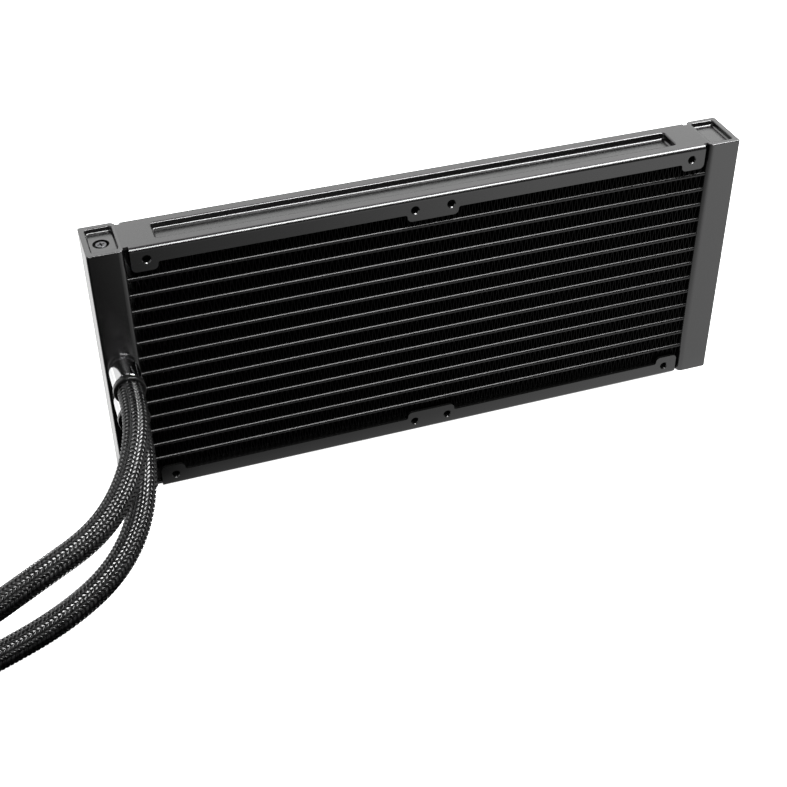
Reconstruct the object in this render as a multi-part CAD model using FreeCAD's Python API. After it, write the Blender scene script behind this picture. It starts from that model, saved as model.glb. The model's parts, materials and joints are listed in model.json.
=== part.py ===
"""240 mm all-in-one liquid cooling radiator, standing on its long edge.

Row frame, in millimetres: X along the radiator, -Y out of the face that the hoses
leave from, +Z up.  The origin is the middle of the radiator's underside.
Each function makes one kind of sub-part; the table at the end names the nodes.
"""
import FreeCAD, Part
import math
import os

V = FreeCAD.Vector

# ---------------------------------------------------------------- driving dimensions
body_length = 268.2          # over both end tanks, X
body_depth = 22.0            # front face to back face, Y
body_height = 115.5          # long edge to long edge, Z

tank_width = 13.9            # of each end tank, X
tank_wall = 1.0
tank_core_round = 2.2        # tank's vertical edges next to the core
tank_outer_round = 0.8
tank_rim_round = 0.4
tray_reach = 3.0             # how far the header tray wraps round the tank's sides

cap_pocket_depth = 2.0
cap_floor = 1.5
pocket_length = 17.0         # Y
pocket_width = 10.0          # X
pocket_round = 1.2
pocket_foot_round = 0.8
pocket_lip_round = 0.5
pocket_offset = 2.3          # outer end face to pocket

rail_gauge = 1.2             # sheet thickness
rail_half_length = 118.4
rail_bend = 1.8              # outer bend radius
flange_reach = 6.9           # rail flange, from the long edge
tab_reach = 10.1             # screw tabs, from the long edge
tab_inner = 10.6             # half the middle tab's width
tab_outer = 108.4            # inner edge of the end tabs
tab_round = 2.0
tab_root_round = 1.0
tongue_half_width = 8.6      # web tongue that meets the tank
tongue_lap = 0.5
recess_half_length = 107.4
recess_half_width = 5.3
recess_depth = 2.7
recess_round = 1.2
recess_foot_round = 1.0
recess_lip_round = 0.8

fan_spacing = 105.0          # 120 mm fan hole pattern
fan_gap = 15.0               # between the holes of neighbouring fans
screw_hole_radius = 1.5
screw_chamfer = 0.35
screw_burr_radius = 2.15
screw_burr_reach = 1.7

tube_count = 13
tube_pitch = 7.3
tube_height = 1.8
tube_depth = 19.6
tube_wall = 0.3
tube_end_x = 122.4
tube_ports = 4

fin_pitch = 2.36
fin_periods = 101
fin_sheet = 0.15
fin_crest_radius = 0.28
fin_depth = 18.4
braze_gap = 0.03
slight = 0.001               # room for rounding when edges are picked by place

side_plate_gauge = 0.8
side_plate_half_depth = 7.4
side_plate_half_length = 119.6

baffle_gauge = 1.5

fitting_x = -127.15
upper_fitting_z = 63.4
lower_fitting_z = 49.4
spigot_radius = 3.1
spigot_bore = 2.3
spigot_tip_reach = 1.6       # past the ferrule, inside the rubber tube
swage_radius = 3.7           # lip inside the tank wall
swage_length = 0.8
barb_rise = 0.07
barb_length = 1.4
barb_places = (4.0, 7.5)
flange_radius = 5.2
flange_gauge = 0.8
ferrule_radius = 5.9
ferrule_length = 11.4
ferrule_round = 0.9
ferrule_gap = 0.2            # flange to ferrule
sleeve_gap = 0.1             # ferrule to sleeve
ring_radius = 6.3            # black ring over the end of the sleeve
ring_length = 2.5
ring_round = 0.5

hose_bore = 3.2
hose_radius = 4.4            # rubber tube
sleeve_bore = 4.5
sleeve_radius = 5.1          # braided sleeve
hose_overlap = 11.3          # rubber tube inside each ferrule
slip_gap = 0.05              # ferrule and ring over what they hold

elbow_body_radius = 4.6
nipple_start = 0.4           # nipple's end, inside the hose
elbow_corner = 19.0          # from the sleeve's end to the spigot's axis
elbow_shoulder = 11.8        # from the sleeve's end to the flange behind the nipple
elbow_flange_gauge = 1.4
elbow_stem_length = 8.0      # plain stem between the corner and the sealing spigot
elbow_collar_gauge = 1.6
elbow_spigot_length = 17.0   # from the corner to the tip
elbow_land_radius = 4.6      # lands between the seal grooves
elbow_tip_radius = 4.3
elbow_tip_length = 4.0
seal_groove_radius = 3.9
seal_groove_width = 1.8
seal_ring_radius = 0.7       # section of each sealing ring
seal_ring_offsets = (9.6, 11.9)

plug_thread_radius = 1.5
plug_hole_radius = 1.55
plug_head_radius = 2.15
plug_head_height = 1.5
plug_shank_length = 4.85
plug_head_round = 0.25
plug_tip_round = 0.3
plug_slot_reach = 1.35       # cross recess, from the axis
plug_slot_width = 0.6
plug_slot_depth = 0.9
plug_slot_angle = 10
plug_bore_radius = 3.15
plug_bore_depth = 2.3
plug_boss_radius = 4.0
plug_boss_height = 4.5
plug_below_floor = 0.15
seal_thickness = 0.58
seal_radius = 2.4
seal_gap = 0.03

# ---------------------------------------------------------------- worked-out sizes
half_length = body_length / 2
half_depth = body_depth / 2
mid_height = body_height / 2
tank_core_x = half_length - tank_width
fan_half = fan_spacing / 2
fan_inner_x = fan_gap / 2
fan_outer_x = fan_inner_x + fan_spacing
tube_half_stack = tube_pitch * (tube_count - 1) / 2
fin_height = tube_pitch - tube_height - 2 * braze_gap
core_half_height = tube_half_stack + tube_height / 2 + fin_height + 2 * braze_gap
ferrule_start_y = -half_depth - flange_gauge - ferrule_gap
ring_start_y = ferrule_start_y - ferrule_length
sleeve_start_y = ring_start_y - sleeve_gap

# ---------------------------------------------------------------- hose routes
# Hand-chosen points from the sleeve's start at the tank to its end at the pump fitting.
# They leave square to the tank, fall to the left, and turn back in a loop on the ground.
upper_route = [
    (fitting_x, sleeve_start_y, upper_fitting_z),
    (fitting_x, -36.5, upper_fitting_z),
    (-130.0, -53.5, 60.5),
    (-138.0, -69.5, 53.3),
    (-151.5, -82.0, 46.5),
    (-173.0, -90.0, 41.5),
    (-199.0, -92.5, 28.5),
    (-223.5, -89.5, 14.5),
    (-249.5, -83.0, 6.3),
    (-276.5, -75.5, 5.2),
    (-303.0, -60.5, 5.2),
    (-318.0, -34.0, 5.2),
    (-318.0, -4.0, 5.2),
    (-303.0, 22.0, 5.2),
    (-277.0, 36.5, 5.4),
    (-245.0, 38.5, 6.4),
    (-212.0, 38.5, 6.4),
]
lower_route = [
    (fitting_x, sleeve_start_y, lower_fitting_z),
    (fitting_x, -36.8, lower_fitting_z),
    (-129.4, -55.0, 45.2),
    (-135.5, -71.0, 36.5),
    (-148.0, -84.5, 28.5),
    (-168.0, -93.5, 21.8),
    (-193.5, -95.5, 12.8),
    (-220.0, -97.5, 6.2),
    (-248.0, -95.5, 5.2),
    (-277.5, -89.5, 5.2),
    (-305.5, -75.5, 5.2),
    (-325.0, -50.5, 5.2),
    (-332.0, -20.0, 5.2),
    (-325.0, 11.0, 5.2),
    (-305.0, 36.0, 5.2),
    (-276.5, 50.0, 6.4),
    (-250.5, 50.0, 6.4),
]


# ---------------------------------------------------------------- helpers
def box(x0, x1, y0, y1, z0, z1):
    """Box between two corners."""
    return Part.makeBox(x1 - x0, y1 - y0, z1 - z0, V(x0, y0, z0))


def rod(radius, start, direction, length):
    """Solid cylinder from a point along a direction."""
    return Part.makeCylinder(radius, length, V(*start), V(*direction))


def ring(outer, inner, start, direction, length):
    """Hollow cylinder from a point along a direction."""
    return rod(outer, start, direction, length).cut(rod(inner, start, direction, length))


def outline(points, radii):
    """Closed wire through points, with each corner rounded by its radius."""
    count = len(points)
    edges = []
    ends = []
    for i in range(count):
        corner = V(*points[i])
        to_last = (V(*points[i - 1]) - corner).normalize()
        to_next = (V(*points[(i + 1) % count]) - corner).normalize()
        if radii[i] == 0:
            ends.append((corner, corner))
            continue
        half_angle = to_last.getAngle(to_next) / 2
        setback = radii[i] / math.tan(half_angle)
        bisector = (to_last + to_next).normalize()
        centre = corner + bisector * (radii[i] / math.sin(half_angle))
        start = corner + to_last * setback
        end = corner + to_next * setback
        middle = centre - bisector * radii[i]
        ends.append((start, end))
        edges.append(Part.Arc(start, middle, end).toShape())
    for i in range(count):
        start = ends[i][1]
        end = ends[(i + 1) % count][0]
        if start.distanceToPoint(end) > slight:
            edges.append(Part.LineSegment(start, end).toShape())
    return Part.Wire(Part.__sortEdges__(edges))


def rounded_prism(x0, x1, y0, y1, z0, z1, radii):
    """Upright prism with the four corners rounded: low X low Y first, anticlockwise."""
    corners = [(x0, y0, z0), (x1, y0, z0), (x1, y1, z0), (x0, y1, z0)]
    return Part.Face(outline(corners, radii)).extrude(V(0, 0, z1 - z0))


def flat_section(x, half_depth_, half_height, z):
    """Face of a flat tube's outline in the YZ plane, with round noses."""
    straight = half_depth_ - half_height
    lower = V(x, -straight, z - half_height)
    upper = V(x, -straight, z + half_height)
    edges = [
        Part.LineSegment(lower, V(x, straight, z - half_height)).toShape(),
        Part.Arc(V(x, straight, z - half_height), V(x, half_depth_, z),
                 V(x, straight, z + half_height)).toShape(),
        Part.LineSegment(V(x, straight, z + half_height), upper).toShape(),
        Part.Arc(upper, V(x, -half_depth_, z), lower).toShape(),
    ]
    return Part.Face(Part.Wire(edges))


def fillet_where(shape, radius, wanted):
    """Round the edges that a test picks."""
    return shape.makeFillet(radius, [edge for edge in shape.Edges if wanted(edge)])


def sunk(shape, reach, floor, radii):
    """Press a pocket into the top of a shape: reach is its x and y range."""
    corner_round, foot_round, lip_round = radii
    x0, x1, y0, y1 = reach
    space = rounded_prism(x0, x1, y0, y1, floor, body_height + 1, [corner_round] * 4)
    space = fillet_where(space, foot_round, lambda e: e.BoundBox.ZMax < floor + slight)

    def on_lip(edge):
        b = edge.BoundBox
        return (b.ZMin > body_height - slight and b.XMin > x0 - slight
                and b.XMax < x1 + slight and b.YMin > y0 - slight and b.YMax < y1 + slight)

    return fillet_where(shape.cut(space), lip_round, on_lip)


def unit(start, end):
    """Unit vector from one point to another."""
    return (V(*end) - V(*start)).normalize()


def route_wire(route, before=0.0, after=0.0):
    """Straight runs joined by tangent arcs, each as large as its two runs allow.

    The first and last runs can be lengthened along their own lines.
    Returns the wire, its length and the arc radii.
    """
    points = [V(*p) for p in route]
    points[0] = points[0] - unit(route[0], route[1]) * before
    points[-1] = points[-1] + unit(route[-2], route[-1]) * after
    runs = [V(*route[i]).distanceToPoint(V(*route[i + 1])) for i in range(len(route) - 1)]
    edges = []
    radii = []
    here = points[0]
    for i in range(1, len(points) - 1):
        back = (points[i - 1] - points[i]).normalize()
        ahead = (points[i + 1] - points[i]).normalize()
        half_turn = (math.pi - back.getAngle(ahead)) / 2
        setback = 0.45 * min(runs[i - 1], runs[i])
        radius = setback / math.tan(half_turn)
        bisector = (back + ahead).normalize()
        centre = points[i] + bisector * (radius / math.cos(half_turn))
        start = points[i] + back * setback
        end = points[i] + ahead * setback
        edges.append(Part.LineSegment(here, start).toShape())
        edges.append(Part.Arc(start, centre - bisector * radius, end).toShape())
        radii.append(radius)
        here = end
    edges.append(Part.LineSegment(here, points[-1]).toShape())
    wire = Part.Wire(edges)
    return wire, wire.Length, radii


def swept(route, radius, before=0.0, after=0.0):
    """Round bar along a route."""
    wire = route_wire(route, before, after)[0]
    start = wire.Vertexes[0].Point
    circle = Part.Circle(start, unit(route[0], route[1]), radius).toShape()
    return wire.makePipeShell([Part.Wire(circle)], True, False)


def mirrored(shape):
    """The same part at the other end, X to -X."""
    return shape.mirror(V(0, 0, 0), V(1, 0, 0))


def flipped(shape):
    """The same part at the other long edge, top to bottom."""
    return shape.mirror(V(0, 0, mid_height), V(0, 0, 1))


# ---------------------------------------------------------------- end tanks
def tank_ring():
    """Wall of the left end tank: a box with open ends and rounded upright edges."""
    outer = rounded_prism(
        -half_length, -tank_core_x, -half_depth, half_depth, 0, body_height,
        [tank_outer_round, tank_core_round, tank_core_round, tank_outer_round])
    outer = fillet_where(outer, tank_rim_round, lambda e: e.BoundBox.ZLength < slight)
    return outer.cut(tank_space(0, body_height))


def tank_space(z0, z1):
    """Space inside the left end tank's walls between two heights."""
    inner_round = tank_core_round - tank_wall
    return rounded_prism(
        -half_length + tank_wall, -tank_core_x - tank_wall,
        -half_depth + tank_wall, half_depth - tank_wall, z0, z1,
        [0, inner_round, inner_round, 0])


def header_tray():
    """Core side of the tank: slotted for the flat tubes, wrapped round the corners."""
    split_x = -tank_core_x - tray_reach
    tray = tank_ring().common(box(split_x, 0, -half_depth, half_depth, 0, body_height))
    for z in tube_heights():
        slot = flat_section(split_x, tube_depth / 2 + braze_gap, tube_height / 2 + braze_gap, z)
        tray = tray.cut(slot.extrude(V(tray_reach + 1, 0, 0)))
    for low in (0, body_height - rail_gauge):
        lap = box(-tank_core_x - tongue_lap, 0, -tongue_half_width, tongue_half_width,
                  low, low + rail_gauge)
        tray = tray.cut(lap)
    return tray


def tank_cover(has_fittings):
    """Outer side of the tank, with holes for the hose spigots on the inlet tank."""
    split_x = -tank_core_x - tray_reach
    cover = tank_ring().common(
        box(-half_length, split_x, -half_depth, half_depth, 0, body_height))
    if has_fittings:
        for z in (upper_fitting_z, lower_fitting_z):
            cover = cover.cut(
                rod(spigot_radius + braze_gap, (fitting_x, -half_depth, z), (0, 1, 0), tank_wall))
    return cover


def end_cap(has_fill_port):
    """Pressed cup that closes the top of the left tank, with its pocket outwards."""
    floor_top = body_height - cap_pocket_depth
    cap = tank_space(floor_top - cap_floor, body_height)
    if has_fill_port:
        boss = rod(plug_boss_radius, (fitting_x, 0, floor_top - cap_floor - plug_boss_height),
                   (0, 0, 1), plug_boss_height)
        cap = cap.fuse(boss)
    pocket_x = -half_length + pocket_offset
    reach = (pocket_x, pocket_x + pocket_width, -pocket_length / 2, pocket_length / 2)
    cap = sunk(cap, reach, floor_top, (pocket_round, pocket_foot_round, pocket_lip_round))
    if has_fill_port:
        cap = cap.cut(rod(plug_bore_radius, (fitting_x, 0, floor_top), (0, 0, -1),
                          plug_bore_depth))
        cap = cap.cut(rod(plug_hole_radius, (fitting_x, 0, floor_top), (0, 0, -1),
                          cap_floor + plug_boss_height))
    return cap.removeSplitter()


def baffle():
    """Divider in the inlet tank that sends the coolant out along the upper tubes."""
    height = mid_height - tube_pitch / 2
    return tank_space(height - baffle_gauge / 2, height + baffle_gauge / 2)


# ---------------------------------------------------------------- core
def tube_heights():
    """Centre heights of the flat tubes, bottom to top."""
    return [mid_height - tube_half_stack + tube_pitch * i for i in range(tube_count)]


def flat_tube():
    """Flat coolant tube at zero height, divided into ports by thin webs."""
    outer = flat_section(-tube_end_x, tube_depth / 2, tube_height / 2, 0)
    tube = outer.extrude(V(2 * tube_end_x, 0, 0))
    bore = flat_section(-tube_end_x, tube_depth / 2 - tube_wall,
                        tube_height / 2 - tube_wall, 0).extrude(V(2 * tube_end_x, 0, 0))
    port = tube_depth / tube_ports
    for i in range(1, tube_ports):
        y = -tube_depth / 2 + port * i
        bore = bore.cut(box(-tube_end_x, tube_end_x, y - tube_wall / 2, y + tube_wall / 2,
                            -tube_height, tube_height))
    return tube.cut(bore)


def fin_strip():
    """Corrugated strip at zero height: straight legs between rounded crests."""
    spacing = fin_height - 2 * fin_crest_radius - fin_sheet
    half_pitch = fin_pitch / 2
    distance = math.hypot(half_pitch, spacing)
    lean = math.atan2(half_pitch, spacing) - math.asin(2 * fin_crest_radius / distance)
    start_x = -fin_pitch * fin_periods / 2
    count = 2 * fin_periods + 1
    sides = []
    for side in (1, -1):
        edges = []
        last = None
        for i in range(count):
            up = 1 if i % 2 == 0 else -1
            radius = fin_crest_radius + side * up * fin_sheet / 2
            centre = V(start_x + half_pitch * i, -fin_depth / 2, up * spacing / 2)
            reach_x = radius * math.cos(lean)
            reach_z = up * radius * math.sin(lean)
            left = centre + V(-reach_x, 0, reach_z)
            right = centre + V(reach_x, 0, reach_z)
            top = centre + V(0, 0, up * radius)
            if i == 0:
                left = top
                middle_angle = (math.pi / 2 + lean) / 2
                top = centre + V(radius * math.cos(middle_angle), 0,
                                 up * radius * math.sin(middle_angle))
            if i == count - 1:
                right = top
                middle_angle = (math.pi / 2 + lean) / 2
                top = centre + V(-radius * math.cos(middle_angle), 0,
                                 up * radius * math.sin(middle_angle))
            if last is not None:
                edges.append(Part.LineSegment(last, left).toShape())
            edges.append(Part.Arc(left, top, right).toShape())
            last = right
        sides.append(edges)
    first = [side[0].Vertexes[0].Point for side in sides]
    final = [side[-1].Vertexes[-1].Point for side in sides]
    caps = [Part.LineSegment(*first).toShape(), Part.LineSegment(*final).toShape()]
    wire = Part.Wire(Part.__sortEdges__(sides[0] + sides[1] + caps))
    return Part.Face(wire).extrude(V(0, fin_depth, 0))


def side_plate():
    """Channel over the outermost fins, spacing the core from the top rail."""
    low = mid_height + core_half_height
    high = body_height - rail_gauge
    outer = box(-side_plate_half_length, side_plate_half_length,
                -side_plate_half_depth, side_plate_half_depth, low, high)
    inner = box(-side_plate_half_length, side_plate_half_length,
                -side_plate_half_depth + side_plate_gauge,
                side_plate_half_depth - side_plate_gauge, low + side_plate_gauge, high)
    return outer.cut(inner)


# ---------------------------------------------------------------- rails
def rail_channel():
    """Full-depth channel section of the top rail, before its edge is cut to shape."""
    y = half_depth
    t = rail_gauge
    low = body_height - tab_reach
    top = body_height
    corners = [
        (-rail_half_length, -y, low), (-rail_half_length, -y, top),
        (-rail_half_length, y, top), (-rail_half_length, y, low),
        (-rail_half_length, y - t, low), (-rail_half_length, y - t, top - t),
        (-rail_half_length, -y + t, top - t), (-rail_half_length, -y + t, low),
    ]
    inner_bend = rail_bend - t
    radii = [0, rail_bend, rail_bend, 0, 0, inner_bend, inner_bend, 0]
    return Part.Face(outline(corners, radii)).extrude(V(2 * rail_half_length, 0, 0))


def flange_outline():
    """Front view of the rail: flange edge with its screw tabs."""
    y = -half_depth - 1
    top = body_height
    flange = body_height - flange_reach
    tab = body_height - tab_reach
    right = [
        (rail_half_length, tab, tab_round), (tab_outer, tab, tab_round),
        (tab_outer, flange, tab_root_round), (tab_inner, flange, tab_root_round),
        (tab_inner, tab, tab_round),
    ]
    left = [(-x, z, r) for x, z, r in reversed(right)]
    run = [(-rail_half_length, top, 0), (rail_half_length, top, 0)] + right + left
    points = [(x, y, z) for x, z, r in run]
    radii = [r for x, z, r in run]
    return Part.Face(outline(points, radii)).extrude(V(0, body_depth + 2, 0))


def top_rail():
    """Top rail: channel with screw tabs, pressed recess and tongues to the tanks."""
    rail = rail_channel().common(flange_outline())
    web_low = body_height - rail_gauge
    tongue = box(-tank_core_x - tongue_lap, tank_core_x + tongue_lap,
                 -tongue_half_width, tongue_half_width, web_low, body_height)
    rail = rail.fuse(tongue)
    recess_floor = body_height - recess_depth
    pan = rounded_prism(
        -recess_half_length - rail_gauge, recess_half_length + rail_gauge,
        -recess_half_width - rail_gauge, recess_half_width + rail_gauge,
        recess_floor - rail_gauge, web_low + 0.1, [recess_round + rail_gauge] * 4)
    rail = rail.fuse(pan)
    reach = (-recess_half_length, recess_half_length, -recess_half_width, recess_half_width)
    rail = sunk(rail, reach, recess_floor, (recess_round, recess_foot_round, recess_lip_round))
    for x in (-fan_outer_x, -fan_inner_x, fan_inner_x, fan_outer_x):
        z = mid_height + fan_half
        for side in (-1, 1):
            face_y = side * half_depth
            inward = (0, -side, 0)
            rail = rail.fuse(rod(screw_burr_radius, (x, face_y - side * rail_gauge / 2, z),
                                 inward, rail_gauge / 2 + screw_burr_reach))
            rail = rail.cut(rod(screw_hole_radius, (x, face_y, z), inward,
                                rail_gauge + screw_burr_reach))
            mouth = Part.makeCone(screw_hole_radius + screw_chamfer, screw_hole_radius,
                                  screw_chamfer, V(x, face_y, z), V(*inward))
            rail = rail.cut(mouth)
    return rail.removeSplitter()


# ---------------------------------------------------------------- hose ends at the tank
def spigot(z):
    """Barbed spigot swaged into the tank's front wall."""
    inside = -half_depth + tank_wall
    tip = sleeve_start_y - spigot_tip_reach
    outward = (0, -1, 0)
    body = rod(spigot_radius, (fitting_x, inside + swage_length, z), outward,
               inside + swage_length - tip)
    body = body.fuse(rod(swage_radius, (fitting_x, inside + swage_length, z), outward,
                         swage_length))
    body = body.fuse(rod(flange_radius, (fitting_x, -half_depth, z), outward, flange_gauge))
    for along in barb_places:
        base = -half_depth - flange_gauge - along - barb_length
        barb = Part.makeCone(spigot_radius, spigot_radius + barb_rise, barb_length,
                             V(fitting_x, base, z), V(0, 1, 0))
        body = body.fuse(barb)
    bore = rod(spigot_bore, (fitting_x, 0, z), outward, half_depth - tip)
    return body.cut(bore).removeSplitter()


def ferrule(start, direction):
    """Polished crimp ferrule over the rubber tube, with rounded ends."""
    body = rod(ferrule_radius, start, direction, ferrule_length)
    body = body.makeFillet(ferrule_round, [body.Edges[0], body.Edges[2]])
    return body.cut(rod(hose_radius + slip_gap, start, direction, ferrule_length))


def end_ring(start, direction):
    """Black ring over the cut end of the braided sleeve."""
    body = rod(ring_radius, start, direction, ring_length)
    body = body.makeFillet(ring_round, [body.Edges[0], body.Edges[2]])
    return body.cut(rod(sleeve_radius + slip_gap, start, direction, ring_length))


# ---------------------------------------------------------------- hoses
def rubber_tube(route):
    """Rubber tube from inside the tank ferrule to inside the pump ferrule."""
    outer = swept(route, hose_radius, hose_overlap, hose_overlap)
    inner = swept(route, hose_bore, hose_overlap, hose_overlap)
    return outer.cut(inner)


def braided_sleeve(route):
    """Braided sleeve over the rubber tube, ring to ring."""
    return swept(route, sleeve_radius).cut(swept(route, sleeve_bore))


# ---------------------------------------------------------------- pump-end fittings
def elbow(end, side):
    """Right-angle fitting: barbed nipple in the hose, grooved spigot towards +Y or -Y."""
    x, y, z = end
    corner = (x + elbow_corner, y, z)
    out = (0, side, 0)
    along = (1, 0, 0)
    shoulder = (x + elbow_shoulder, y, z)
    stem_end = (corner[0], y + side * elbow_stem_length, z)
    collar = (corner[0], y + side * (elbow_stem_length - elbow_collar_gauge), z)
    sealing_length = elbow_spigot_length - elbow_stem_length
    body = rod(elbow_body_radius, shoulder, along, elbow_corner - elbow_shoulder)
    body = body.fuse(Part.makeSphere(elbow_body_radius, V(*corner)))
    body = body.fuse(rod(elbow_body_radius, corner, out, elbow_stem_length))
    body = body.fuse(rod(spigot_radius, (x + nipple_start, y, z), along, elbow_shoulder))
    body = body.fuse(rod(flange_radius, shoulder, along, elbow_flange_gauge))
    body = body.fuse(rod(flange_radius, collar, out, elbow_collar_gauge))
    body = body.fuse(rod(elbow_land_radius, stem_end, out, sealing_length - elbow_tip_length))
    body = body.fuse(rod(elbow_tip_radius, stem_end, out, sealing_length))
    for offset in seal_ring_offsets:
        start = (corner[0], y + side * (offset - seal_groove_width / 2), z)
        body = body.cut(ring(flange_radius, seal_groove_radius, start, out, seal_groove_width))
    bore = rod(spigot_bore, (x, y, z), along, elbow_corner)
    bore = bore.fuse(Part.makeSphere(spigot_bore, V(*corner)))
    bore = bore.fuse(rod(spigot_bore, corner, out, elbow_spigot_length + 1))
    return body.cut(bore).removeSplitter()


def elbow_seals(end, side):
    """The two sealing rings in the elbow spigot's grooves."""
    x, y, z = end
    rings = []
    for offset in seal_ring_offsets:
        centre = V(x + elbow_corner, y + side * offset, z)
        radius = seal_groove_radius + seal_ring_radius + braze_gap
        rings.append(Part.makeTorus(radius, seal_ring_radius, centre, V(0, 1, 0)))
    return Part.makeCompound(rings)


# ---------------------------------------------------------------- fill plug
def plug_floor():
    """Height of the seat that the plug's seal rests on."""
    return body_height - cap_pocket_depth - plug_bore_depth


def plug_head_top():
    """Height of the top of the plug's head."""
    return body_height - cap_pocket_depth - plug_below_floor


def fill_plug():
    """Cross-recessed screw that closes the fill port."""
    top = plug_head_top()
    under = top - plug_head_height
    tip = under - plug_shank_length
    up = (0, 0, 1)
    head = rod(plug_head_radius, (fitting_x, 0, under), up, plug_head_height)
    head = fillet_where(head, plug_head_round, lambda e: e.BoundBox.ZMin > top - slight)
    shank = rod(plug_thread_radius, (fitting_x, 0, tip), up, plug_shank_length)
    shank = fillet_where(shank, plug_tip_round, lambda e: e.BoundBox.ZMax < tip + slight)
    plug = head.fuse(shank)
    for angle in (plug_slot_angle, plug_slot_angle + 90):
        slot = box(-plug_slot_reach, plug_slot_reach, -plug_slot_width / 2,
                   plug_slot_width / 2, -plug_slot_depth, 1)
        turn = FreeCAD.Rotation(V(0, 0, 1), angle)
        slot.Placement = FreeCAD.Placement(V(fitting_x, 0, top), turn)
        plug = plug.cut(slot)
    return plug.removeSplitter()


def plug_seal():
    """Flat sealing washer under the plug's head."""
    return ring(seal_radius, plug_hole_radius, (fitting_x, 0, plug_floor() + seal_gap),
                (0, 0, 1), seal_thickness)


# ---------------------------------------------------------------- node table
nodes = {}
nodes["inlet_tank_cover"] = tank_cover(True)
nodes["return_tank_cover"] = mirrored(tank_cover(False))
left_tray = header_tray()
nodes["inlet_header_tray"] = left_tray
nodes["return_header_tray"] = mirrored(left_tray)
plain_cap = end_cap(False)
nodes["inlet_tank_top_cap"] = end_cap(True)
nodes["inlet_tank_bottom_cap"] = flipped(plain_cap)
nodes["return_tank_caps"] = Part.makeCompound([mirrored(plain_cap), mirrored(flipped(plain_cap))])
nodes["inlet_tank_baffle"] = baffle()

tube = flat_tube()
for number, height in enumerate(tube_heights(), 1):
    nodes["flat_tube_%02d" % number] = tube.translated(V(0, 0, height))
strip = fin_strip()
for number in range(tube_count + 1):
    height = mid_height - tube_half_stack + tube_pitch * (number - 0.5)
    nodes["fin_strip_%02d" % (number + 1)] = strip.translated(V(0, 0, height))

nodes["top_rail"] = top_rail()
nodes["bottom_rail"] = flipped(nodes["top_rail"])
nodes["top_side_plate"] = side_plate()
nodes["bottom_side_plate"] = flipped(nodes["top_side_plate"])

hoses = (
    ("upper", upper_route, upper_fitting_z, -1),
    ("lower", lower_route, lower_fitting_z, 1),
)
for name, route, fitting_z, side in hoses:
    end = route[-1]
    nodes[name + "_spigot"] = spigot(fitting_z)
    nodes[name + "_tank_ferrule"] = ferrule((fitting_x, ferrule_start_y, fitting_z), (0, -1, 0))
    nodes[name + "_tank_ring"] = end_ring((fitting_x, ring_start_y, fitting_z), (0, -1, 0))
    nodes[name + "_hose_tube"] = rubber_tube(route)
    nodes[name + "_hose_sleeve"] = braided_sleeve(route)
    ring_end = (end[0] + sleeve_gap, end[1], end[2])
    nodes[name + "_pump_ring"] = end_ring(ring_end, (-1, 0, 0))
    nodes[name + "_pump_ferrule"] = ferrule(ring_end, (1, 0, 0))
    nodes[name + "_elbow"] = elbow(end, side)
    nodes[name + "_elbow_seals"] = elbow_seals(end, side)

nodes["fill_plug"] = fill_plug()
nodes["fill_plug_seal"] = plug_seal()

os.makedirs("parts", exist_ok=True)
for name, shape in nodes.items():
    if not shape.isValid():
        print("not valid:", name)
    shape.exportStep("parts/" + name + ".step")

for name, route, fitting_z, side in hoses:
    length, radii = route_wire(route)[1:]
    section = math.pi * (sleeve_radius ** 2 - sleeve_bore ** 2)
    volume = nodes[name + "_hose_sleeve"].Volume
    print("%s hose: length %.1f, radii %s" % (name, length, [round(r, 1) for r in radii]))
    print("  volume %.1f, section x length %.1f" % (volume, section * length))
print(len(nodes), "nodes")
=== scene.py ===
import json
import math

import bmesh
import bpy
import numpy as np
from mathutils import Euler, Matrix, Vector


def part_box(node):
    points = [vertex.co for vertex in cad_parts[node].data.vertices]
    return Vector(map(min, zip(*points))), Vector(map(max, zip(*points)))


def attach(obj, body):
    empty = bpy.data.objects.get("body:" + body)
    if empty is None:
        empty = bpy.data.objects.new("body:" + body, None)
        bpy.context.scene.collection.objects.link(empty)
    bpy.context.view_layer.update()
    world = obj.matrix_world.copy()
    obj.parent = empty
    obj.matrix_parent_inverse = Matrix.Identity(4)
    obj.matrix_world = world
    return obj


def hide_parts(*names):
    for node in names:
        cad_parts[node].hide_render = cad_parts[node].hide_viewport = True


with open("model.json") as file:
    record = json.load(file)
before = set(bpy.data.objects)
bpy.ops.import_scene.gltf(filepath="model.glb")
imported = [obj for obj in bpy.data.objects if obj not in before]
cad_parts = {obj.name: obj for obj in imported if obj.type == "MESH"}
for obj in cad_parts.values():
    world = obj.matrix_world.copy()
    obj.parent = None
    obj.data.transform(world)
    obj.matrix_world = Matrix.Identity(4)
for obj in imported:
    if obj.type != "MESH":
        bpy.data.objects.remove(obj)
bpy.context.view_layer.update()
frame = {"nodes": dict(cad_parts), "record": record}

# ---------------------------------------------------------------- sizes, in metres
CAMERA_PLACE = (-0.16458, -0.45255, 0.38603)
CAMERA_TURN = (52.039, 0.476, -18.830)       # degrees about X, Y, Z
CAMERA_LENS = 63.69                          # mm
SENSOR_WIDTH = 36.0                          # mm

CORE_RADIUS = 0.00452                        # rubber tube that shows between the strands
CORE_STEPS = 14                              # from one point of the route to the next
CORE_SIDES = 18                              # round its section: four, and two a bevel step
LINE_STEPS = 48                              # like CORE_STEPS, for the line the braid follows

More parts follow.
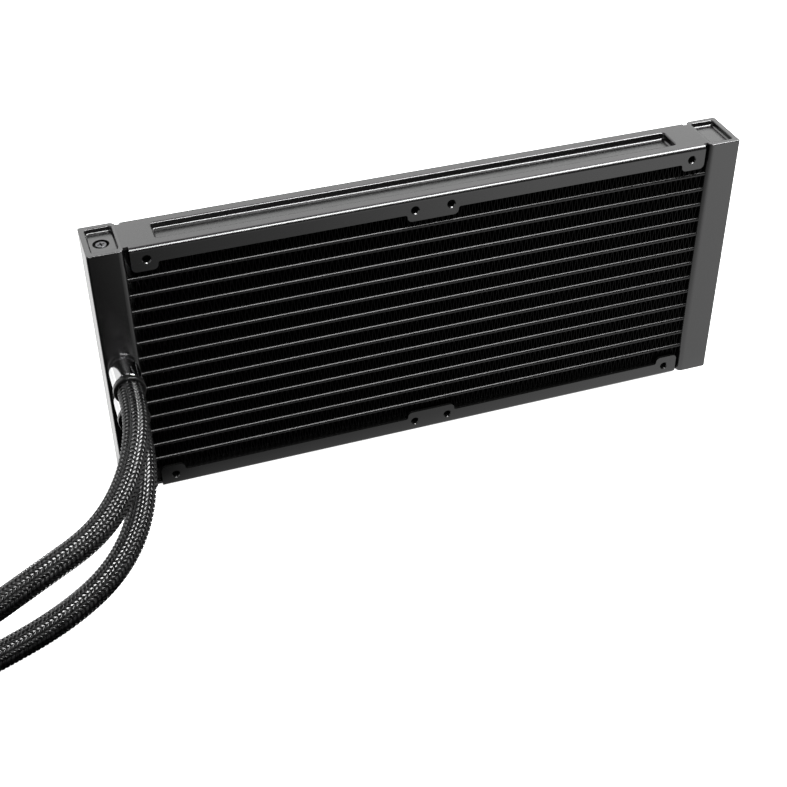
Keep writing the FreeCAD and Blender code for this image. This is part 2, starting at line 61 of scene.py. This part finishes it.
BRAID_COLUMNS = 16                           # ribs round the sleeve, leaning by turns
BRAID_PITCH = 0.0017                         # from one chevron to the next
BRAID_FLOOR = 0.00442                        # radius where a strand dives under
BRAID_LIFT = 0.00053                         # how far its middle stands above that
FILAMENT_RISE = 0.00013
FILAMENT_END_RISE = 0.4                      # share of that rise left at a strand's ends
STRAND_WIDTH = 0.00086
STRAND_REACH = 1.22                          # in half ribs, so its ends are under the next rib
STRAND_LIFTS = [0.0, 0.80, 1.0, 0.80, 0.0]   # along a strand, as a share of BRAID_LIFT
STRAND_RIDGES = [0.0, 1.0, 0.35, 1.0, 0.35, 1.0, 0.0]    # across it: three filaments
TONE_SEED = 7
BRAID_DARK, BRAID_LIGHT = (0.001, 0.001, 0.0011), (0.004, 0.004, 0.0042)
BRAID_ROUGHNESS = (0.22, 0.34)
BRAID_SPECULAR = 0.85

PLUG_HEAD_HEIGHT = 0.0015
THREAD_PITCH = 0.0005
THREAD_INNER, THREAD_OUTER = 0.00122, 0.00149
THREAD_CREST = 1.25                          # over 1, so that the crests are flat
THREAD_SIDES = 48
THREAD_ROWS = 10                             # for each turn
TIP_INSET = 0.0002                           # from THREAD_INNER in to the edge of the tip
LEVEL_MARGIN = 1e-6                          # keeps faces level with the head's underside

# Slot: tones dark and light, roughness low and high, specular level.
PAINTS = {
    "tank_paint": ((0.0012, 0.0024), (0.21, 0.27), 1.0),
    "rail_paint": ((0.0012, 0.0024), (0.22, 0.28), 0.85),
    "core_plate_paint": ((0.002, 0.003), (0.50, 0.60), 0.3),
    "tube_paint": ((0.001, 0.002), (0.22, 0.30), 0.34),
    "fin_paint": ((0.0006, 0.0014), (0.28, 0.38), 0.13),
}
# Slot: colour, roughness low and high, scales of the marks along X, Y, Z.
METALS = {
    "bare_aluminium": ((0.80, 0.80, 0.81), (0.30, 0.45), (90, 900, 900)),
    "spigot_metal": ((0.66, 0.66, 0.68), (0.18, 0.28), (900, 120, 900)),
    "ferrule_metal": ((0.62, 0.62, 0.63), (0.10, 0.16), (700, 90, 700)),
    "plug_metal": ((0.12, 0.12, 0.125), (0.24, 0.34), (600, 600, 200)),
}
DULL_SHARE = 0.90                            # of a metal's colour, where its marks are dull
# Slot: tones dark and light, roughness, scale and depth of the grain, specular level.
MOULDINGS = {
    "ring_black": ((0.003, 0.005), 0.24, 3000.0, 0.000004, 0.35),
    "hose_rubber": ((0.002, 0.004), 0.62, 1800.0, 0.00003, 0.2),
    "elbow_plastic": ((0.014, 0.020), 0.38, 2600.0, 0.00002, 0.5),
    "seal_rubber": ((0.008, 0.012), 0.45, 2000.0, 0.00001, 0.4),
    "plug_seal_rubber": ((0.008, 0.012), 0.5, 2000.0, 0.00001, 0.4),
}
SMOOTHER, ROUGHER = 0.05, 0.07               # how far the grain moves a moulding's roughness

FLOOR_HALF = 6.0
FLOOR_DROP = 0.0001                          # below what stands on it
FLOOR_GREY = (0.6, 0.6, 0.6, 1.0)
WHITE = (1.0, 1.0, 1.0, 1.0)
FLOOR_SEEN = 0.95                            # strength of its light to the camera
FLOOR_GLOW = 2.0                             # the same in reflections, times the shares below
GLOW_REACH = 0.25                            # how far left and right the front is graded
# The front glow is a painted shade: darkest on the left, under the hoses, and seen in the front
# faces.
SHADED_GLOW_FRONT = [                               # shares in front, by place from left to right
    (0.00, 0.0), (0.26, 0.0), (0.30, 0.12), (0.50, 0.23), (0.76, 0.48), (1.00, 0.58)]
GLOW_BEHIND = (0.7, 0.7, 0.7, 1.0)
GLOW_BLEND = 0.02                            # from front to behind, each side of Y = 0

WORLD_MIRRORED, WORLD_SEEN = 0.01, 1.0       # strength in reflections and to the camera

# A softbox behind for the upper faces, a strip overhead for the bends and tube noses, and two
# cards for the ferrules: name, place, aim, width and height, power in watts.
LIGHTS = [
    ("back_softbox", (0.28, 0.74, 0.78), (0.0, 0.0, 0.08), (1.8, 0.95), 10.5),
    ("top_strip", (0.40, -0.28, 1.00), (0.1, 0.0, 0.06), (1.4, 0.28), 34.0),
    ("left_card", (-0.55, -0.20, 0.25), (-0.12, 0.0, 0.06), (0.5, 0.6), 1.0),
    ("back_left_card", (-0.62, 0.62, 0.22), (-0.12, 0.0, 0.06), (1.1, 0.6), 2.5),
]

# Control points of each hose, from its tank ring to its pump ring.
ROUTES = {
    "upper": [
        (-0.12715, -0.0235, 0.0634), (-0.12715, -0.0365, 0.0634), (-0.1300, -0.0535, 0.0605),
        (-0.1380, -0.0695, 0.0533), (-0.1515, -0.0820, 0.0465), (-0.1730, -0.0900, 0.0415),
        (-0.1990, -0.0925, 0.0285), (-0.2235, -0.0895, 0.0145), (-0.2495, -0.0830, 0.0063),
        (-0.2765, -0.0755, 0.0052), (-0.3030, -0.0605, 0.0052), (-0.3180, -0.0340, 0.0052),
        (-0.3180, -0.0040, 0.0052), (-0.3030, 0.0220, 0.0052), (-0.2770, 0.0365, 0.0054),
        (-0.2450, 0.0385, 0.0064), (-0.2120, 0.0385, 0.0064),
    ],
    "lower": [
        (-0.12715, -0.0235, 0.0494), (-0.12715, -0.0368, 0.0494), (-0.1294, -0.0550, 0.0452),
        (-0.1355, -0.0710, 0.0365), (-0.1480, -0.0845, 0.0285), (-0.1680, -0.0935, 0.0218),
        (-0.1935, -0.0955, 0.0128), (-0.2200, -0.0975, 0.0062), (-0.2480, -0.0955, 0.0052),
        (-0.2775, -0.0895, 0.0052), (-0.3055, -0.0755, 0.0052), (-0.3250, -0.0505, 0.0052),
        (-0.3320, -0.0200, 0.0052), (-0.3250, 0.0110, 0.0052), (-0.3050, 0.0360, 0.0052),
        (-0.2765, 0.0500, 0.0064), (-0.2505, 0.0500, 0.0064),
    ],
}


def add_object(name, data):
    """New object in the scene."""
    thing = bpy.data.objects.new(name, data)
    bpy.context.scene.collection.objects.link(thing)
    return thing


# ---------------------------------------------------------------- camera
def make_camera():
    """Camera at the photograph's viewing angle."""
    camera = add_object("camera", bpy.data.cameras.new("camera"))
    camera.location = CAMERA_PLACE
    camera.rotation_euler = Euler([math.radians(a) for a in CAMERA_TURN], "XYZ")
    camera.data.sensor_width = SENSOR_WIDTH
    camera.data.lens = CAMERA_LENS
    camera.data.clip_start = 0.01
    camera.data.clip_end = 50.0
    bpy.context.scene.camera = camera


# ---------------------------------------------------------------- materials
class Nodes:
    """A material's node tree, built by short calls."""

    def __init__(self, name):
        self.material = bpy.data.materials.new(name)
        self.material.use_nodes = True
        self.tree = self.material.node_tree
        self.shader = self.tree.nodes["Principled BSDF"]
        self.place = self.add("ShaderNodeTexCoord").outputs["Object"]

    def add(self, kind, **settings):
        node = self.tree.nodes.new(kind)
        for key, value in settings.items():
            setattr(node, key, value)
        return node

    def join(self, output, socket):
        self.tree.links.new(output, socket)

    def noise(self, scale, detail, roughness=0.55):
        node = self.add("ShaderNodeTexNoise")
        node.inputs["Scale"].default_value = scale
        node.inputs["Detail"].default_value = detail
        node.inputs["Roughness"].default_value = roughness
        self.join(self.place, node.inputs["Vector"])
        return node.outputs["Fac"]

    def ramp(self, fac, stops):
        """Colour ramp from (place, colour) stops; a number stands for a grey."""
        node = self.add("ShaderNodeValToRGB")
        self.join(fac, node.inputs["Fac"])
        elements = node.color_ramp.elements
        while len(elements) < len(stops):
            elements.new(0.5)
        for element, (place, colour) in zip(elements, stops):
            element.position = place
            if isinstance(colour, (int, float)):
                colour = (colour, colour, colour)
            element.color = (*colour, 1.0)
        return node.outputs["Color"]

    def spread(self, fac, low, high):
        """A 0 to 1 value moved to low to high."""
        node = self.add("ShaderNodeMapRange")
        node.inputs["To Min"].default_value = low
        node.inputs["To Max"].default_value = high
        self.join(fac, node.inputs["Value"])
        return node.outputs["Result"]

    def share(self, value, low, high):
        """Where a value lies from low to high, as 0 to 1."""
        node = self.add("ShaderNodeMapRange")
        node.inputs["From Min"].default_value = low
        node.inputs["From Max"].default_value = high
        self.join(value, node.inputs["Value"])
        return node.outputs["Result"]

    def blend(self, share, first, second):
        """From a colour socket to a plain colour, by a Mix node, whose socket names repeat."""
        node = self.add("ShaderNodeMix", data_type="RGBA")
        inputs = {socket.identifier: socket for socket in node.inputs}
        outputs = {socket.identifier: socket for socket in node.outputs}
        self.join(share, inputs["Factor_Float"])
        self.join(first, inputs["A_Color"])
        inputs["B_Color"].default_value = second
        return outputs["Result_Color"]

    def colour(self, output):
        self.join(output, self.shader.inputs["Base Color"])

    def roughness(self, output):
        self.join(output, self.shader.inputs["Roughness"])

    def bump(self, layers):
        """Bumps over each other, from (height, strength, depth in metres)."""
        last = None
        for height, strength, depth in layers:
            node = self.add("ShaderNodeBump")
            node.inputs["Strength"].default_value = strength
            node.inputs["Distance"].default_value = depth
            self.join(height, node.inputs["Height"])
            if last is not None:
                self.join(last, node.inputs["Normal"])
            last = node.outputs["Normal"]
        self.join(last, self.shader.inputs["Normal"])

    def set(self, **values):
        """Numbers on the shader's own sockets."""
        for key, value in values.items():
            self.shader.inputs[key.replace("_", " ")].default_value = value


def painted(name, tones, roughness, specular):
    """Powder coat: fine orange peel, faint grain in its colour and gloss."""
    nodes = Nodes(name)
    nodes.set(Metallic=0.0, Specular_IOR_Level=specular, IOR=1.5)
    grain = nodes.noise(scale=5200.0, detail=2.0)
    cloud = nodes.noise(scale=38.0, detail=4.0)
    peel = nodes.noise(scale=1150.0, detail=2.0)
    nodes.colour(nodes.ramp(grain, [(0.3, tones[0]), (0.75, tones[1])]))
    nodes.roughness(nodes.spread(cloud, *roughness))
    nodes.bump([(peel, 0.02, 0.00002), (grain, 0.03, 0.00001)])
    return nodes.material


def metal(name, colour, roughness, mark_scales):
    """Bare or plated metal with drawn or turned marks."""
    nodes = Nodes(name)
    nodes.set(Metallic=1.0)
    stretched = nodes.add("ShaderNodeMapping")
    stretched.inputs["Scale"].default_value = mark_scales
    nodes.join(nodes.place, stretched.inputs["Vector"])
    noise = nodes.add("ShaderNodeTexNoise")
    noise.inputs["Scale"].default_value = 1.0
    noise.inputs["Detail"].default_value = 4.0
    nodes.join(stretched.outputs["Vector"], noise.inputs["Vector"])
    marks = noise.outputs["Fac"]
    dull = tuple(part * DULL_SHARE for part in colour)
    nodes.colour(nodes.ramp(marks, [(0.3, dull), (0.7, colour)]))
    nodes.roughness(nodes.spread(marks, *roughness))
    nodes.bump([(marks, 0.08, 0.00002)])
    return nodes.material


def moulded(name, tones, roughness, grain_scale, grain_depth, specular):
    """Plastic or rubber with a fine moulded grain."""
    nodes = Nodes(name)
    nodes.set(Metallic=0.0, Specular_IOR_Level=specular)
    grain = nodes.noise(scale=grain_scale, detail=3.0)
    cloud = nodes.noise(scale=90.0, detail=2.0)
    nodes.colour(nodes.ramp(cloud, [(0.35, tones[0]), (0.65, tones[1])]))
    nodes.roughness(nodes.spread(grain, roughness - SMOOTHER, roughness + ROUGHER))
    nodes.bump([(grain, 0.25, grain_depth)])
    return nodes.material


def braided(name):
    """Satin monofilament: each strand has its own tone and gloss."""
    nodes = Nodes(name)
    nodes.set(Metallic=0.0, Specular_IOR_Level=BRAID_SPECULAR, IOR=1.5)
    tone = nodes.add("ShaderNodeAttribute", attribute_name="strand_tone").outputs["Fac"]
    scuff = nodes.noise(scale=2600.0, detail=2.0)
    nodes.colour(nodes.ramp(tone, [(0.0, BRAID_DARK), (1.0, BRAID_LIGHT)]))
    nodes.roughness(nodes.spread(tone, *BRAID_ROUGHNESS))
    nodes.bump([(scuff, 0.15, 0.00002)])
    return nodes.material


def make_materials():
    """One material for each slot of the record."""
    made = {"braid": braided("braid")}
    for make, table in ((painted, PAINTS), (metal, METALS), (moulded, MOULDINGS)):
        for slot, values in table.items():
            made[slot] = make(slot, *values)
    return made


def finish_with(piece, slot):
    """Gives a piece the material of its slot."""
    piece.data.materials.clear()
    piece.data.materials.append(materials[slot])


# ---------------------------------------------------------------- hoses
def make_core(side):
    """The hose's rubber tube: one smooth line through the route's points."""
    route = ROUTES[side]
    data = bpy.data.curves.new(side + "_hose_core", "CURVE")
    data.dimensions = "3D"
    spline = data.splines.new("NURBS")
    spline.points.add(len(route) - 1)
    for point, place in zip(spline.points, route):
        point.co = (*place, 1.0)
    spline.order_u = 3
    spline.use_endpoint_u = True
    data.resolution_u = CORE_STEPS
    data.bevel_depth = CORE_RADIUS
    data.bevel_resolution = (CORE_SIDES - 4) // 2
    data.use_fill_caps = True
    return add_object(side + "_hose_core", data)


def line_of(core):
    """Points of the curve's own line, read from a copy with no bevel."""
    bare = bpy.data.objects.new("bare_line", core.data.copy())
    bare.data.bevel_depth = 0.0
    bare.data.resolution_u = LINE_STEPS
    mesh = bpy.data.meshes.new_from_object(bare)
    points = np.array([v.co for v in mesh.vertices])
    bpy.data.meshes.remove(mesh)
    bpy.data.curves.remove(bare.data)
    return points


class Line:
    """A line with a frame that doesn't twist, read at any distance along it."""

    def __init__(self, points):
        runs = np.linalg.norm(np.diff(points, axis=0), axis=1)
        self.at = np.concatenate([[0.0], np.cumsum(runs)])
        self.length = self.at[-1]
        self.points = points
        ahead = np.gradient(points, self.at, axis=0)
        self.ahead = ahead / np.linalg.norm(ahead, axis=1)[:, None]
        self.side = np.zeros_like(points)
        last = np.array([0.0, 0.0, 1.0])
        for i, direction in enumerate(self.ahead):
            last = last - direction * (last @ direction)
            last = last / np.linalg.norm(last)
            self.side[i] = last

    def read(self, values, distance):
        return np.stack([np.interp(distance, self.at, values[:, k]) for k in range(3)], axis=-1)

    def place(self, distance, angle, radius):
        """Points at a distance along, an angle round and a radius out."""
        centre = self.read(self.points, distance)
        ahead = self.read(self.ahead, distance)
        first = self.read(self.side, distance)
        second = np.cross(ahead, first)
        out = np.cos(angle)[..., None] * first + np.sin(angle)[..., None] * second
        return centre + out * radius[..., None]


def strand_points(line, turns):
    """Points of every strand, by rib, turn, step along the strand and step across it."""
    pitch = line.length / turns
    column_angle = 2 * math.pi / BRAID_COLUMNS
    top = BRAID_FLOOR + BRAID_LIFT
    lean = math.atan2(top * column_angle, pitch)
    lift = np.array(STRAND_LIFTS)
    ridge = np.array(STRAND_RIDGES)
    along = np.linspace(-1.0, 1.0, len(lift)) * STRAND_REACH
    across = np.linspace(-1.0, 1.0, len(ridge))
    column, turn, u, v = np.meshgrid(
        np.arange(BRAID_COLUMNS), np.arange(turns), np.arange(len(along)),
        np.arange(len(across)), indexing="ij")
    handed = np.where(column % 2 == 0, 1.0, -1.0)
    step = along[u]
    aside = across[v] * STRAND_WIDTH / 2
    angle = (column + 0.5) * column_angle + handed * step * column_angle / 2
    angle = angle + aside * math.cos(lean) / top
    distance = (turn + 0.5) * pitch + step * pitch / 2 - handed * aside * math.sin(lean)
    distance = np.clip(distance, 0.0, line.length)
    rise = FILAMENT_END_RISE + (1 - FILAMENT_END_RISE) * lift[u]
    radius = BRAID_FLOOR + BRAID_LIFT * lift[u] + FILAMENT_RISE * ridge[v] * rise
    return line.place(distance, angle, radius).reshape(-1, 3)


def strand_faces(strands):
    """Faces between each strand's own points."""
    row_length = len(STRAND_RIDGES)
    row = np.arange(row_length - 1)
    quads = []
    for i in range(len(STRAND_LIFTS) - 1):
        a = i * row_length + row
        quads.append(np.stack([a, a + 1, a + 1 + row_length, a + row_length], axis=1))
    first_points = np.arange(strands) * len(STRAND_LIFTS) * row_length
    return (np.concatenate(quads)[None] + first_points[:, None, None]).reshape(-1, 4)


def make_braid(side, core):
    """Braid round the rubber tube: ribs of short strands that lean left and right by turns."""
    line = Line(line_of(core))
    turns = round(line.length / BRAID_PITCH)
    strands = BRAID_COLUMNS * turns
    points = strand_points(line, turns)
    faces = strand_faces(strands)
    mesh = bpy.data.meshes.new(side + "_hose_braid")
    mesh.from_pydata(points, [], faces)
    mesh.polygons.foreach_set("use_smooth", np.ones(len(faces), bool))
    tones = np.random.default_rng(TONE_SEED).random(strands)
    tones = np.repeat(tones, len(points) // strands).astype(np.float32)
    mesh.attributes.new("strand_tone", "FLOAT", "POINT").data.foreach_set("value", tones)
    return add_object(side + "_hose_braid", mesh)


def make_hose(side):
    """One hose: rubber tube and braid over it, in place of the CAD tube and sleeve, which are
    hidden.
    """
    core = make_core(side)
    finish_with(core, "hose_rubber")
    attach(core, "radiator")
    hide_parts(side + "_hose_tube")
    braid = make_braid(side, core)
    finish_with(braid, "braid")
    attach(braid, "radiator")
    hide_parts(side + "_hose_sleeve")


# ---------------------------------------------------------------- fill plug
def thread_radius(height, share):
    """Radius of the thread at a height over the tip and a share of the way round."""
    ridge = 1 - abs(2 * ((height / THREAD_PITCH - share) % 1.0) - 1)
    radius = THREAD_INNER + (THREAD_OUTER - THREAD_INNER) * min(1.0, THREAD_CREST * ridge)
    return min(radius, THREAD_INNER - TIP_INSET + height)


def add_thread(shape, axis, tip, length):
    """Threaded shank, closed at its tip, from rings of points."""
    steps = round(length / THREAD_PITCH * THREAD_ROWS)
    rings = []
    for row in range(steps + 1):
        height = length * row / steps
        ring = []
        for k in range(THREAD_SIDES):
            share = k / THREAD_SIDES
            radius = thread_radius(height, share)
            ring.append(shape.verts.new((
                axis[0] + radius * math.cos(2 * math.pi * share),
                axis[1] + radius * math.sin(2 * math.pi * share), tip + height)))
        rings.append(ring)
    for low, high in zip(rings, rings[1:]):
        for k in range(THREAD_SIDES):
            j = (k + 1) % THREAD_SIDES
            shape.faces.new((low[k], low[j], high[j], high[k])).smooth = True
    shape.faces.new(list(reversed(rings[0])))


def make_plug():
    """The fill plug's own head over a shank with a right-handed thread."""
    joints = {joint["name"]: joint for joint in frame["record"]["behaviour"]["joints"]}
    axis = joints["plug_turn"]["pos_m"]
    low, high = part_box("fill_plug")
    under_head = high[2] - PLUG_HEAD_HEIGHT
    node = frame["nodes"]["fill_plug"]
    shape = bmesh.new()
    shape.from_mesh(node.data)
    shape.transform(node.matrix_world)
    shank = [f for f in shape.faces if f.calc_center_median().z < under_head - LEVEL_MARGIN]
    bmesh.ops.delete(shape, geom=shank, context="FACES")
    add_thread(shape, axis, low[2], under_head - low[2])
    mesh = bpy.data.meshes.new("threaded_plug")
    shape.to_mesh(mesh)
    shape.free()
    plug = add_object("threaded_plug", mesh)
    finish_with(plug, "plug_metal")
    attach(plug, "plug")
    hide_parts("fill_plug")


# ---------------------------------------------------------------- CAD pieces
def finish_cad_nodes():
    """Gives every CAD node the material of its slot in the record."""
    slots = {part["node"]: part["material_slot"] for part in frame["record"]["subparts"]}
    for name, node in frame["nodes"].items():
        node.data.materials.clear()
        node.data.materials.append(materials[slots[name]])


# ---------------------------------------------------------------- stage
def softbox(name, place, target, size, power):
    """Rectangular studio light, aimed at a point."""
    data = bpy.data.lights.new(name, "AREA")
    data.shape = "RECTANGLE"
    data.size, data.size_y = size
    data.energy = power
    light = add_object(name, data)
    light.location = place
    direction = Vector(target) - Vector(place)
    light.rotation_euler = direction.to_track_quat("-Z", "Y").to_euler()
    light.visible_camera = False


def floor_material():
    """White to the camera; what the object mirrors of it is dimmer, most of all on the left, a
    painted shade.
    """
    nodes = Nodes("floor")
    nodes.set(Base_Color=FLOOR_GREY, Roughness=0.9, Specular_IOR_Level=0.1,
              Emission_Color=WHITE, Emission_Strength=FLOOR_SEEN)
    split = nodes.add("ShaderNodeSeparateXYZ")
    nodes.join(nodes.place, split.inputs["Vector"])
    front = nodes.ramp(nodes.share(split.outputs["X"], -GLOW_REACH, GLOW_REACH), SHADED_GLOW_FRONT)
    behind = nodes.share(split.outputs["Y"], -GLOW_BLEND, GLOW_BLEND)
    glow = nodes.add("ShaderNodeEmission")
    glow.inputs["Strength"].default_value = FLOOR_GLOW
    nodes.join(nodes.blend(behind, front, GLOW_BEHIND), glow.inputs["Color"])
    mix = nodes.add("ShaderNodeMixShader")
    nodes.join(nodes.add("ShaderNodeLightPath").outputs["Is Camera Ray"], mix.inputs["Fac"])
    nodes.join(glow.outputs["Emission"], mix.inputs[1])
    nodes.join(nodes.shader.outputs["BSDF"], mix.inputs[2])
    nodes.join(mix.outputs["Shader"], nodes.tree.nodes["Material Output"].inputs["Surface"])
    return nodes.material


def make_floor():
    """Plain floor under the object."""
    signs = [(-1, -1), (1, -1), (1, 1), (-1, 1)]
    corners = [(x * FLOOR_HALF, y * FLOOR_HALF, -FLOOR_DROP) for x, y in signs]
    mesh = bpy.data.meshes.new("floor")
    mesh.from_pydata(corners, [], [(0, 1, 2, 3)])
    mesh.materials.append(floor_material())
    add_object("floor", mesh)


def make_world():
    """White to the camera, dim to reflections."""
    world = bpy.data.worlds.new("studio")
    bpy.context.scene.world = world
    world.use_nodes = True
    tree = world.node_tree
    tree.nodes.clear()
    output = tree.nodes.new("ShaderNodeOutputWorld")
    mix = tree.nodes.new("ShaderNodeMixShader")
    path = tree.nodes.new("ShaderNodeLightPath")
    for strength, socket in ((WORLD_MIRRORED, mix.inputs[1]), (WORLD_SEEN, mix.inputs[2])):
        background = tree.nodes.new("ShaderNodeBackground")
        background.inputs["Color"].default_value = WHITE
        background.inputs["Strength"].default_value = strength
        tree.links.new(background.outputs["Background"], socket)
    tree.links.new(path.outputs["Is Camera Ray"], mix.inputs["Fac"])
    tree.links.new(mix.outputs["Shader"], output.inputs["Surface"])


# ---------------------------------------------------------------- the scene
make_camera()
materials = make_materials()
for side in ROUTES:
    make_hose(side)
make_plug()
finish_cad_nodes()
make_floor()
make_world()
for light in LIGHTS:
    softbox(*light)
bpy.context.scene.view_settings.view_transform = "Standard"
